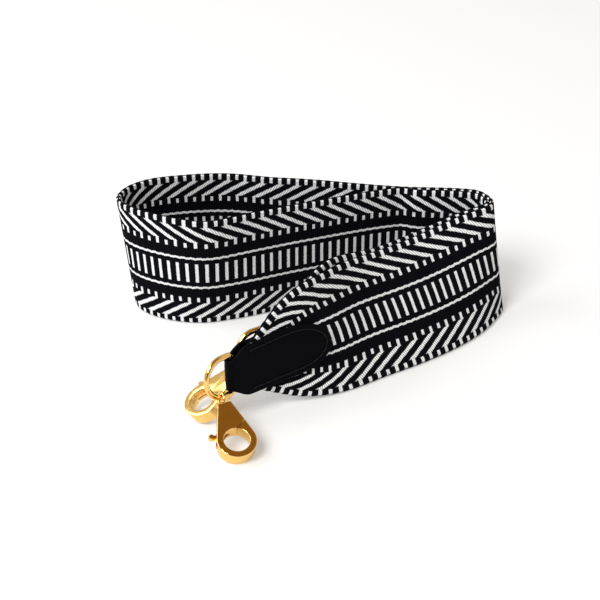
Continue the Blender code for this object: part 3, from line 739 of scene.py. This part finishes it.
def carve(item, tools, operation):
    """Apply each tool to the item by an exact Boolean and remove the tools."""
    for tool in tools:
        step = item.modifiers.new("cut", "BOOLEAN")
        step.operation = operation
        step.solver = "EXACT"
        step.object = tool
    bpy.context.view_layer.update()
    graph = bpy.context.evaluated_depsgraph_get()
    result = bpy.data.meshes.new_from_object(item.evaluated_get(graph))
    item.modifiers.clear()
    item.data = result
    for tool in tools:
        bpy.data.objects.remove(tool)
    return item


def drop_corners():
    """Directions of the flat end's corner and of the place where the flank leaves the round."""
    corner = math.atan2(clasp_end_half_width, clasp_length)
    return corner, corner + math.acos(clasp_radius / math.hypot(clasp_end_half_width, clasp_length))


def drop_outline(theta):
    """From the eye's centre to the teardrop's rim in each direction: arc, straight flank, flat end."""
    corner, side = drop_corners()
    a = np.abs((theta + math.pi) % (2 * math.pi) - math.pi)
    flank = clasp_radius / np.cos(np.clip(a - side, -1.5, 1.5))
    end = clasp_length / np.cos(np.clip(a, 0, corner))
    return np.where(a > side, clasp_radius, np.where(a > corner, flank, end))


def make_teardrop(name):
    """The teardrop plate with its round eye, in the clasp's own axes. Each rim is a quarter round."""
    corner, side = drop_corners()
    end = np.linspace(0, corner, end_steps + 1)[1:]
    near = np.concatenate([end, np.linspace(corner, side, flank_steps + 1)[1:]])
    far = np.linspace(side, 2 * math.pi - side, round_steps + 2)[1:-1]
    theta = np.concatenate([-near[::-1], [0], near, far])
    rim = drop_outline(theta)
    half = clasp_thickness / 2
    c = clasp_edge_radius
    q = np.linspace(0, math.pi / 2, clasp_edge_steps)
    inner = [(clasp_eye_radius + c * (1 - math.cos(t)), half - c * (1 - math.sin(t))) for t in q]
    outer = [(1 - c / clasp_radius * (1 - math.cos(t)), half - c * (1 - math.sin(t))) for t in q[::-1]]
    section = [(np.full_like(theta, r), z) for r, z in inner] + [(rim * k, z) for k, z in outer]
    section += [(r, -z) for r, z in section[::-1]]
    rings = np.stack([
        np.stack([r * np.cos(theta), r * np.sin(theta), np.full_like(theta, z)], 1) for r, z in section
    ], 1)
    return put_in_scene(name, *tube(rings, closed=True))


def pivot_place():
    """Where the claw's pin stands, from the eye's centre."""
    return np.array([math.cos(pivot_angle), math.sin(pivot_angle)]) * pivot_radius_place


def round_points(pivot, radius, start, stop, count):
    """Points on an arc round the pivot."""
    t = np.linspace(start, stop, count)
    return pivot + radius * np.stack([np.cos(t), np.sin(t)], 1)


def claw_region(grow):
    """Plan outline of the space that the claw takes, grown or shrunk by a gap."""
    pivot = pivot_place()
    mid = np.array([seam_along, seam_across])
    along = np.array([math.cos(seam_angle), math.sin(seam_angle)])
    push = np.array([-along[1], along[0]]) * grow
    far = 3 * clasp_radius
    points = [mid + push - along * (far / 6), mid + push + along * far, (-far, -far), (-far, far)]
    shoulder = round_points(pivot, shoulder_radius - grow, shoulder_start, shoulder_end, shoulder_points)
    return np.vstack([points, shoulder])


def tang_outline():
    """The claw's tang, from inside its half of the eye to the hub on the pin."""
    pivot = pivot_place()
    sweep = (tang_start, pivot_angle + tang_past_pivot, tang_points)
    outer = round_points(0, clasp_radius - 2 * part_gap, *sweep)
    hub = round_points(pivot, hub_radius, tang_hub_start, tang_hub_end, tang_hub_points)
    inner = round_points(0, clasp_eye_radius + part_gap, *sweep)[::-1]
    return np.vstack([outer, hub, inner[1:]])


def slot_outline():
    """The body's slot: the space that tang and knob stem sweep as the claw opens."""
    pivot = pivot_place()
    outer = round_points(pivot, shoulder_radius + 4 * part_gap, slot_start, slot_end, slot_points)
    hub = round_points(pivot, hub_radius + part_gap, slot_hub_start, slot_start, slot_hub_points)
    return np.vstack([outer, hub])


def loop_place():
    """Middle of the swivel eye's loop, from the clasp's eye."""
    return clasp_length + fit_gap + collar_length + eye_half_length + eye_wire_radius * eye_seat_share


def hang_reach():
    """From the clasp's eye to the middle of the ring's wire, which lies off the middle of the loop."""
    return loop_place() + (eye_half_length - eye_wire_radius - ring_wire_radius) * eye_hang_share


def clasp_axes(ring, wire_angle, heading):
    """Place and axes of a clasp that rests on the floor and hangs its eye on the ring's wire."""
    wire, tangent = ring.wire(wire_angle)
    reach = hang_reach()
    long_arm = reach + clasp_radius
    short_arm = clasp_thickness / 2
    size = math.hypot(long_arm, short_arm)
    tilt = math.asin(wire[2] / size) - math.atan2(short_arm, long_arm)
    flat = np.array([math.cos(heading), math.sin(heading), 0])
    along = flat * math.cos(tilt) + np.array([0, 0, math.sin(tilt)])
    across = np.cross([0, 0, 1], flat)
    return wire - reach * along, along, across, np.cross(along, across), tangent


def lay_in_frame(item, origin, along, across, normal):
    """Move mesh points from the piece's own axes into the object's frame, then mark its sharp edges."""
    points = np.empty(len(item.data.vertices) * 3)
    item.data.vertices.foreach_get("co", points)
    points = points.reshape(-1, 3)
    moved = origin + points[:, :1] * along + points[:, 1:2] * across + points[:, 2:] * normal + frame_shift
    item.data.vertices.foreach_set("co", moved.ravel())
    item.data.polygons.foreach_set("use_smooth", np.ones(len(item.data.polygons), bool))
    item.data.set_sharp_from_angle(angle=metal_crease)
    item.data.update()


def make_eye(name, axes):
    """The swivel eye: an oval loop, a collar, and a headed post inside the clasp's narrow end."""
    origin, along, _, _, tangent = axes
    collar = clasp_length + fit_gap
    turn = np.linspace(0, 2 * math.pi, eye_steps, endpoint=False)
    loop = np.stack([
        loop_place() + eye_half_length * np.cos(turn), eye_half_width * np.sin(turn), np.zeros(eye_steps)
    ], 1)
    item = put_in_scene(name, *sweep_loop(loop, eye_wire_radius, eye_sides, (0, 0, 1)))
    head = clasp_length - neck_wall - fit_gap
    edge = turned_edge
    profile = [
        (head - post_head_length, 0), (head - post_head_length, post_head_radius - edge),
        (head - post_head_length + edge, post_head_radius), (head - edge, post_head_radius),
        (head, post_head_radius - edge), (head, post_radius), (collar, post_radius),
        (collar, collar_radius - edge), (collar + edge / 2, collar_radius - edge / 3),
        (collar + edge, collar_radius), (collar + collar_length - edge, collar_radius),
        (collar + collar_length, collar_radius - edge),
        (collar + collar_length + eye_wire_radius, eye_wire_radius * eye_foot_share),
        (collar + collar_length + eye_wire_radius, 0),
    ]
    carve(item, [put_in_scene(name + "_post", *lathe(profile, turned_sides))], "UNION")
    flat = unit(tangent - along * np.dot(tangent, along))
    lay_in_frame(item, origin, along, np.cross(flat, along), flat)
    return item


def make_knob():
    """The thumb knob, turned: its radius falls off towards top and bottom as a power of the height."""
    z = np.linspace(-1, 1, knob_rows)
    k = 1 - knob_barrel_share * np.abs(z) ** knob_barrel_power
    turn = np.linspace(0, 2 * math.pi, knob_sides, endpoint=False)
    rings = np.stack([
        knob_along + knob_radius * k[:, None] * np.cos(turn),
        knob_across + knob_radius * k[:, None] * np.sin(turn),
        np.repeat((z * knob_half_height)[:, None], knob_sides, 1),
    ], -1)
    return put_in_scene("knob", *tube(rings))


def make_clasp(side, axes):
    """Clasp plate and claw: the same teardrop, parted along the seam, with slot, bores, tang and knob."""
    origin, along, across, normal, _ = axes
    half = clasp_thickness / 2
    pivot = pivot_place()
    tip = clasp_length
    tall = 2 * clasp_thickness
    plate = make_teardrop(side + "_clasp_plate")
    region = put_in_scene("region", *prism(claw_region(part_gap / 2), -tall, tall))
    slot = put_in_scene("slot", *prism(slot_outline(), -slot_half_height, slot_half_height))
    hole = put_in_scene("hole", *upright(
        pivot, pin_radius + running_gap, -tall, half - pin_cover + running_gap, pin_hole_sides
    ))
    bore_profile = [
        (tip - neck_wall - post_head_length - 2 * fit_gap, 0),
        (tip - neck_wall - post_head_length - 2 * fit_gap, post_head_radius + fit_gap),
        (tip - neck_wall, post_head_radius + fit_gap), (tip - neck_wall, post_radius + running_gap),
        (tip + post_head_length, post_radius + running_gap), (tip + post_head_length, 0),
    ]
    bore = put_in_scene("bore", *lathe(bore_profile, turned_sides))
    carve(plate, [region, slot, hole, bore], "DIFFERENCE")
    claw = make_teardrop(side + "_clasp_hook")
    carve(claw, [put_in_scene("keep", *prism(claw_region(-part_gap / 2), -tall, tall))], "INTERSECT")
    tang = put_in_scene("tang", *prism(tang_outline(), tang_low, tang_high))
    wide = knob_radius * knob_stem_share
    low = clasp_eye_radius + 4 * part_gap
    stem_outline = [
        (knob_along + wide, knob_across), (knob_along - wide, knob_across),
        (knob_along - wide, low), (knob_along + wide, low),
    ]
    stem = put_in_scene("stem", *prism(stem_outline, tang_low, tang_high))
    carve(claw, [tang, stem, make_knob()], "UNION")
    hub_hole = put_in_scene("hub_hole", *upright(
        pivot, pin_radius + running_gap, -half, half, pin_hole_sides
    ))
    carve(claw, [hub_hole], "DIFFERENCE")
    for item in (plate, claw):
        lay_in_frame(item, origin, along, across, normal)
    return plate, claw


class Field:
    """A number that varies over a surface; its arithmetic adds nodes to the material."""

    def __init__(self, tree, value):
        self.tree = tree
        self.value = value

    def op(self, name, *others, clamp=False):
        """The field that a Math node of that name makes of this one and the others."""
        node = self.tree.nodes.new("ShaderNodeMath")
        node.operation = name
        node.use_clamp = clamp
        for socket, item in zip(node.inputs, (self, *others)):
            item = item.value if isinstance(item, Field) else item
            if isinstance(item, (int, float)):
                socket.default_value = item
            else:
                self.tree.links.new(item, socket)
        return Field(self.tree, node.outputs[0])

    def __add__(self, other):
        return self.op("ADD", other)

    def __sub__(self, other):
        return self.op("SUBTRACT", other)

    def __mul__(self, other):
        return self.op("MULTIPLY", other)

    def __truediv__(self, other):
        return self.op("DIVIDE", other)

    def abs(self):
        """The size without the sign."""
        return self.op("ABSOLUTE")

    def part(self):
        """What is left over the whole number."""
        return self.op("FRACT")

    def whole(self):
        """The whole number below."""
        return self.op("FLOOR")

    def sin(self):
        """The sine of an angle."""
        return self.op("SINE")

    def larger(self, other):
        """The larger of the two at each place."""
        return self.op("MAXIMUM", other)

    def within(self, reach, softness):
        """1 where the size is under the reach, falling to 0 over the softness."""
        return (self.abs() * (-1 / softness)).op("ADD", reach / softness + 0.5, clamp=True)

    def between(self, low, high, softness):
        """1 from low to high, falling to 0 over the softness."""
        return (self - (low + high) / 2).within((high - low) / 2, softness)


class Surface:
    """A material under way: its node tree, main shader, and the helpers that feed it."""

    def __init__(self, name):
        self.material = bpy.data.materials.new(name)
        self.material.use_nodes = True
        self.tree = self.material.node_tree
        self.shader = self.tree.nodes["Principled BSDF"]

    def node(self, kind, **settings):
        """A shader node of that kind with its settings."""
        node = self.tree.nodes.new("ShaderNode" + kind)
        for key, value in settings.items():
            setattr(node, key, value)
        return node

    def link(self, source, socket):
        """Feed a socket from a field or from another socket."""
        self.tree.links.new(source.value if isinstance(source, Field) else source, socket)

    def field(self, socket):
        """A socket's values as a field."""
        return Field(self.tree, socket)

    def set(self, **values):
        """Even values on the shader's sockets, whose names have spaces for the underscores."""
        for key, value in values.items():
            self.shader.inputs[key.replace("_", " ")].default_value = value

    def points(self):
        """Places on the piece in the object's own axes."""
        return self.node("TexCoord").outputs["Object"]

    def noise(self, vector, scale, detail):
        """Cloudy noise from 0 to 1, with so many clouds to the metre."""
        node = self.node("TexNoise")
        self.link(vector, node.inputs["Vector"])
        node.inputs["Scale"].default_value = scale
        node.inputs["Detail"].default_value = detail
        return self.field(node.outputs[0])

    def stretched(self, vector, scale):
        """The places scaled unequally along the three axes."""
        node = self.node("Mapping")
        self.link(vector, node.inputs["Vector"])
        node.inputs["Scale"].default_value = scale
        return node.outputs[0]

    def mix(self, share, first, second):
        """A colour between the first and the second by the share."""
        node = self.node("Mix", data_type="RGBA")
        self.link(share, node.inputs[0])
        for socket, colour in ((node.inputs[6], first), (node.inputs[7], second)):
            if isinstance(colour, tuple):
                socket.default_value = (*colour, 1)
            else:
                self.link(colour, socket)
        return node.outputs[2]

    def colour(self, source):
        """Feed the surface's colour."""
        self.link(source, self.shader.inputs["Base Color"])

    def roughness(self, source):
        """Feed the surface's roughness."""
        self.link(source, self.shader.inputs["Roughness"])

    def bump(self, height, distance, strength):
        """Fine relief: a height from 0 to 1 times the distance."""
        node = self.node("Bump")
        node.inputs["Distance"].default_value = distance
        node.inputs["Strength"].default_value = strength
        self.link(height, node.inputs["Height"])
        self.link(node.outputs[0], self.shader.inputs["Normal"])


def woven_webbing():
    """Black and white weave drawn on the band's flat place in millimetres: centre bars, two thin lines, two
    rows of small squares, slanted stripes between them, and squares along both selvedges."""
    cloth = Surface("webbing_weave")
    spot = cloth.node("UVMap", uv_map="weave").outputs[0]
    parts = cloth.node("SeparateXYZ")
    cloth.link(spot, parts.inputs[0])
    along = cloth.field(parts.outputs[0]) / weave_pitch
    across = cloth.field(parts.outputs[1]) * 1000
    away = across.abs()
    lower = across.op("LESS_THAN", 0.0)
    stepped = ((along * picks).whole() + 0.5) / picks
    wander = cloth.noise(spot, scale=900, detail=1.0) - 0.5
    edge = away + wander * wander_mm
    cell = along.part() - 0.5 + wander * wander_share
    pair = ((along + lower) / 2).part() - 0.25 + wander * (wander_share / 2)
    odd_pair = ((along + lower + 1) / 2).part() - 0.25 + wander * (wander_share / 2)
    bars = cell.within(bar_half_share, cut_share) * edge.within(bars_reach_mm, cut_mm)
    long_wave = (along * (2 * math.pi * rope_waves)).sin() * rope_mm
    short_wave = (along * (2 * math.pi * ripple_waves)).sin() * ripple_mm
    lines = (edge - line_middle_mm + (long_wave + short_wave)).within(line_half_mm, line_cut_mm)
    inner = cell.within(inner_square_half_share, cut_share) * edge.between(*inner_squares_mm, cut_mm)
    inner_long = odd_pair.within(inner_long_half_share, cut_share / 2) * edge.between(*inner_longs_mm, cut_mm)
    rim = cell.within(rim_square_half_share, cut_share) * edge.between(*rim_squares_mm, cut_mm)
    rim_long = pair.within(rim_long_half_share, cut_share / 2) * edge.between(*rim_longs_mm, cut_mm)
    shift = (away * -1 + slant_foot_mm) * (slant_pitches / slant_run_mm)
    slant = ((stepped + lower - shift) / 2).part() - 0.25 + wander * slant_wander_share
    stripes = slant.within(stripe_half_share, cut_share / 2) * edge.between(*stripes_mm, cut_mm)
    white = bars
    for figure in (lines, inner, inner_long, rim, rim_long, stripes):
        white = white.larger(figure)
    floats = (along * (2 * math.pi * floats_in_pitch) + across * float_lean).sin() * 0.5 + 0.5
    ribs = (along * (math.pi * ribs_in_pitch)).sin().abs()
    fuzz = cloth.noise(spot, weave_fuzz, detail=2.0)
    tone = cloth.noise(spot, scale=160, detail=2.0)
    hatch = (floats - 0.5) * (stripes * 0.6 + 0.3)
    shade = (hatch + fuzz * 0.15 + tone * 0.15 + 0.43).op("MULTIPLY", 1.0, clamp=True)
    pale = cloth.mix(shade, white_thread_shade, white_thread)
    dark = cloth.mix(ribs * 0.8 + fuzz * 0.2, black_thread_shade, black_thread)
    cloth.colour(cloth.mix(white, dark, pale))
    cloth.roughness(fuzz * 0.15 + 0.74)
    relief = white * (floats * 0.5 + 0.35) + (ribs * 0.4 + fuzz * 0.15)
    cloth.bump(relief, weave_relief, strength=0.8)
    cloth.set(Specular_IOR_Level=0.02)
    return cloth.material


def black_leather(name):
    """Smooth black calf: faint pebble grain, soft sheen that varies, and slightly paler worn patches."""
    hide = Surface(name)
    spot = hide.points()
    grain = hide.node("TexVoronoi", feature="DISTANCE_TO_EDGE")
    hide.link(spot, grain.inputs["Vector"])
    grain.inputs["Scale"].default_value = leather_pebbles
    pebble = hide.field(grain.outputs[0])
    fine = hide.noise(spot, scale=5200, detail=3.0)
    broad = hide.noise(spot, scale=160, detail=2.0)
    hide.colour(hide.mix(broad * 0.6 + fine * 0.4, calf_shade, calf))
    hide.roughness(broad * 0.16 + fine * 0.08 + 0.34)
    hide.bump(pebble * 0.8 + fine * 0.35, leather_relief, strength=0.45)
    hide.set(Specular_IOR_Level=0.035)
    return hide.material


def waxed_thread(name):
    """Black thread of twisted strands."""
    thread = Surface(name)
    spot = thread.points()
    wave = thread.node("TexWave", bands_direction="DIAGONAL")
    thread.link(spot, wave.inputs["Vector"])
    wave.inputs["Scale"].default_value = thread_strands
    strand = thread.field(wave.outputs[1])
    fibre = thread.noise(spot, scale=9000, detail=2.0)
    thread.colour(thread.mix(strand * 0.6 + fibre * 0.4, seam_thread_shade, seam_thread))
    thread.roughness(fibre * 0.2 + 0.5)
    thread.bump(strand * 0.7 + fibre * 0.3, thread_relief, strength=0.6)
    thread.set(Specular_IOR_Level=0.1)
    return thread.material


def polished_gold(name):
    """Pale gold plate, polished: fine hairlines, faint smears and the slight ripple of a cast surface."""
    metal = Surface(name)
    spot = metal.points()
    hair = metal.noise(metal.stretched(spot, gold_hairlines), scale=1.0, detail=3.0)
    smear = metal.noise(spot, gold_smears, detail=3.0)
    ripple = metal.noise(spot, gold_ripples, detail=1.0)
    metal.colour(metal.mix(smear, gold_plate_shade, gold_plate))
    metal.roughness(smear * 0.08 + hair * 0.05 + 0.05)
    metal.bump(ripple + hair * 0.08 + smear * 0.3, gold_relief, strength=0.45)
    metal.set(Metallic=1.0)
    return metal.material


def satin_steel(name):
    """Plain steel of pins and springs, with fine drawing marks."""
    metal = Surface(name)
    spot = metal.points()
    drawn = metal.noise(metal.stretched(spot, steel_drawing_marks), scale=1.0, detail=2.0)
    metal.colour(metal.mix(drawn, steel_shade, steel))
    metal.roughness(drawn * 0.15 + 0.22)
    metal.bump(drawn, steel_relief, strength=0.3)
    metal.set(Metallic=1.0)
    return metal.material


def finish(item, body, node, material):
    """Put a piece on its body in place of its CAD node and material."""
    item.data.materials.clear()
    item.data.materials.append(material)
    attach(item, body)
    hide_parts(node)


def build_object():
    """Webbing first, then each end from the tab outwards. Pins and springs keep their shape and get a steel
    finish."""
    at, full = outer_path()
    centre, weft = raised(at, full)
    inner = inner_path(at, centre, weft)
    webbing, length = make_webbing(band_rows(at, centre, weft, inner))
    finish(webbing, "strap", "strap_webbing", woven_webbing())
    normal = -frames(centre, weft)[2]
    ends = {
        "front": End(centre, weft, normal, arc(centre)),
        "rear": End(inner, weft, normal, at - rear_end_setback),
    }
    for side, heading, clasp_heading, wire_angle in (
        ("front", front_ring_heading, front_clasp_heading, front_wire_angle),
        ("rear", rear_ring_heading, rear_clasp_heading, rear_wire_angle),
    ):
        end = ends[side]
        tab = make_tab(side + "_tab_leather", end)
        finish(tab, "strap", side + "_tab", black_leather(side + "_calf"))
        thread = waxed_thread(side + "_waxed_thread")
        for kind, face in (("needle", 1), ("bobbin", -1)):
            seam = make_stitches(side + "_" + kind + "_seam", end, face)
            finish(seam, "strap", side + "_" + kind + "_stitches", thread)
        ring = Ring(end, heading)
        gold = polished_gold(side + "_polished_gold")
        wire = put_in_scene(side + "_ring_wire", *sweep_loop(
            ring.outline() + frame_shift, ring_wire_radius, ring_sides, ring.normal
        ))
        finish(wire, side + "_ring", side + "_d_ring", gold)
        axes = clasp_axes(ring, wire_angle, clasp_heading)
        eye = make_eye(side + "_eye_loop", axes)
        finish(eye, side + "_eye", side + "_swivel_eye", gold)
        plate, claw = make_clasp(side, axes)
        finish(plate, side + "_clasp", side + "_clasp_body", gold)
        finish(claw, side + "_claw", side + "_clasp_claw", gold)
        drawn_steel = satin_steel(side + "_satin_steel")
        for node in (side + "_claw_pin", side + "_claw_spring"):
            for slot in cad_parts[node].material_slots:
                slot.material = drawn_steel


def make_floor():
    """A pale table top, seen a little brighter than it is lit so that it runs out to white."""
    top = Surface("table_paper")
    spot = top.points()
    tooth = top.noise(spot, scale=700, detail=2.0)
    top.colour(top.mix(tooth, table_white_shade, table_white))
    top.roughness(tooth * 0.1 + 0.6)
    glow = top.node("Emission")
    glow.inputs["Color"].default_value = (1, 1, 1, 1)
    seen = top.node("LightPath")
    rays = top.field(seen.outputs["Is Camera Ray"]) + seen.outputs["Is Glossy Ray"]
    rays = (rays + seen.outputs["Is Transmission Ray"]).op("MULTIPLY", floor_glow, clamp=True)
    blend = top.node("MixShader")
    top.link(rays, blend.inputs[0])
    top.link(top.shader.outputs[0], blend.inputs[1])
    top.link(glow.outputs[0], blend.inputs[2])
    top.link(blend.outputs[0], top.tree.nodes["Material Output"].inputs["Surface"])
    far = table_half_width
    item = put_in_scene("table", [(-far, -far, 0), (far, -far, 0), (far, far, 0), (-far, far, 0)], [range(4)])
    item.data.materials.append(top.material)


def stand(name, data, spot, aim):
    """A lamp or a camera in the scene, turned to what it aims at."""
    item = bpy.data.objects.new(name, data)
    item.location = spot
    item.rotation_euler = (Vector(aim) - Vector(spot)).to_track_quat("-Z", "Y").to_euler()
    bpy.context.scene.collection.objects.link(item)
    return item


def make_lamp(name, spot, width, watts, colour):
    """A square soft lamp turned to the strap."""
    light = bpy.data.lights.new(name, "AREA")
    light.shape = "RECTANGLE"
    light.size = width
    light.size_y = width
    light.energy = watts
    light.color = colour
    stand(name, light, spot, lamp_aim)


def make_world():
    """Soft daylight from the sides, a dim warm ceiling and a dim patch behind the camera; seen directly it is
    white."""
    world = bpy.data.worlds.new("room")
    bpy.context.scene.world = world
    world.use_nodes = True
    tree = world.node_tree
    back = tree.nodes["Background"]
    back.inputs["Strength"].default_value = 1.0
    spot = tree.nodes.new("ShaderNodeTexCoord").outputs["Generated"]
    parts = tree.nodes.new("ShaderNodeSeparateXYZ")
    tree.links.new(spot, parts.inputs[0])
    ramp = tree.nodes.new("ShaderNodeValToRGB")
    tree.links.new(parts.outputs[2], ramp.inputs[0])
    heights = ramp.color_ramp.elements
    heights[1].position = ceiling_height
    heights.new(wall_height)
    for height, colour in zip(heights, (horizon_colour, wall_colour, ceiling_colour)):
        height.color = (*colour, 1)
    front = tree.nodes.new("ShaderNodeVectorMath")
    front.operation = "DOT_PRODUCT"
    tree.links.new(spot, front.inputs[0])
    front.inputs[1].default_value = towards_camera
    patch = tree.nodes.new("ShaderNodeMapRange")
    tree.links.new(front.outputs["Value"], patch.inputs["Value"])
    patch.inputs["From Min"].default_value = patch_rim
    patch.inputs["From Max"].default_value = patch_core
    room = tree.nodes.new("ShaderNodeMix")
    room.data_type = "RGBA"
    tree.links.new(patch.outputs[0], room.inputs[0])
    tree.links.new(ramp.outputs[0], room.inputs[6])
    room.inputs[7].default_value = (*patch_colour, 1)
    seen = tree.nodes.new("ShaderNodeLightPath")
    mix = tree.nodes.new("ShaderNodeMix")
    mix.data_type = "RGBA"
    tree.links.new(seen.outputs["Is Camera Ray"], mix.inputs[0])
    tree.links.new(room.outputs[2], mix.inputs[6])
    mix.inputs[7].default_value = (1, 1, 1, 1)
    tree.links.new(mix.outputs[2], back.inputs["Color"])


def make_camera():
    """A long lens that looks down on the coil from the front."""
    data = bpy.data.cameras.new("camera")
    data.lens = camera_lens_mm
    data.sensor_width = camera_sensor_mm
    spot = Vector(camera_aim) + Vector(towards_camera) * camera_distance
    bpy.context.scene.camera = stand("camera", data, spot, camera_aim)


build_object()
make_floor()
make_world()
make_lamp("window", window_place, window_width, window_watts, window_colour)
make_lamp("softbox", softbox_place, softbox_width, softbox_watts, softbox_colour)
make_camera()
bpy.context.scene.view_settings.view_transform = "Standard"
